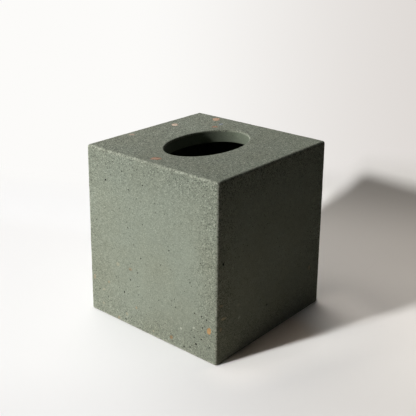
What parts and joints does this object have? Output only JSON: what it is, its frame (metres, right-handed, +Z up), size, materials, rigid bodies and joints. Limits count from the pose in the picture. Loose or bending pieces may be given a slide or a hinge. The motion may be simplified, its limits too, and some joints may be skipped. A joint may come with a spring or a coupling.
{
  "type": "tissue box cover",
  "caption": "Square cast-cement cover for a cube box of tissues, open underneath, with an oval mouth in the top, stone chips bedded in its faces and cork feet under its rim.",
  "frame": {"origin": "middle of the footprint, on the floor that the feet stand on", "axes": "+Z up, +Y along the mouth's long axis, +X along its short axis"},
  "size_m": [0.135, 0.135, 0.1423],
  "materials": {
    "tinted_cement": "matt sanded cement, sage green, with fine sand speckle and small air pits",
    "terracotta_stone": "matt ground terracotta-coloured stone",
    "tan_stone": "matt ground tan stone",
    "pale_stone": "matt ground cream stone with a rusty edge",
    "slate_stone": "matt ground blue-grey stone",
    "cork": "fine bonded cork"
  },
  "bodies": {
    "root": {"back_pale_chip_1": "pale_stone", "back_slate_chip_1": "slate_stone", "back_tan_chip_1": "tan_stone", "back_tan_chip_2": "tan_stone", "back_terracotta_chip_1": "terracotta_stone", "back_terracotta_chip_2": "terracotta_stone", "back_terracotta_chip_3": "terracotta_stone", "back_terracotta_chip_4": "terracotta_stone", "cast_cover": "tinted_cement", "foot_back_left": "cork", "foot_back_right": "cork", "foot_front_left": "cork", "foot_front_right": "cork", "front_pale_chip_1": "pale_stone", "front_pale_chip_2": "pale_stone", "front_tan_chip_1": "tan_stone", "front_tan_chip_2": "tan_stone", "front_tan_chip_3": "tan_stone", "front_tan_chip_4": "tan_stone", "front_tan_chip_5": "tan_stone", "front_terracotta_chip_1": "terracotta_stone", "front_terracotta_chip_2": "terracotta_stone", "front_terracotta_chip_3": "terracotta_stone", "front_terracotta_chip_4": "terracotta_stone", "front_terracotta_chip_5": "terracotta_stone", "front_terracotta_chip_6": "terracotta_stone", "front_terracotta_chip_7": "terracotta_stone", "left_pale_chip_1": "pale_stone", "left_tan_chip_1": "tan_stone", "left_tan_chip_2": "tan_stone", "left_tan_chip_3": "tan_stone", "left_terracotta_chip_1": "terracotta_stone", "left_terracotta_chip_2": "terracotta_stone", "left_terracotta_chip_3": "terracotta_stone", "left_terracotta_chip_4": "terracotta_stone", "right_pale_chip_1": "pale_stone", "right_tan_chip_1": "tan_stone", "right_tan_chip_2": "tan_stone", "right_terracotta_chip_1": "terracotta_stone", "right_terracotta_chip_2": "terracotta_stone", "right_terracotta_chip_3": "terracotta_stone", "top_pale_chip_1": "pale_stone", "top_pale_chip_2": "pale_stone", "top_slate_chip_1": "slate_stone", "top_terracotta_chip_1": "terracotta_stone", "top_terracotta_chip_2": "terracotta_stone", "top_terracotta_chip_3": "terracotta_stone"}
  },
  "joints": []
}
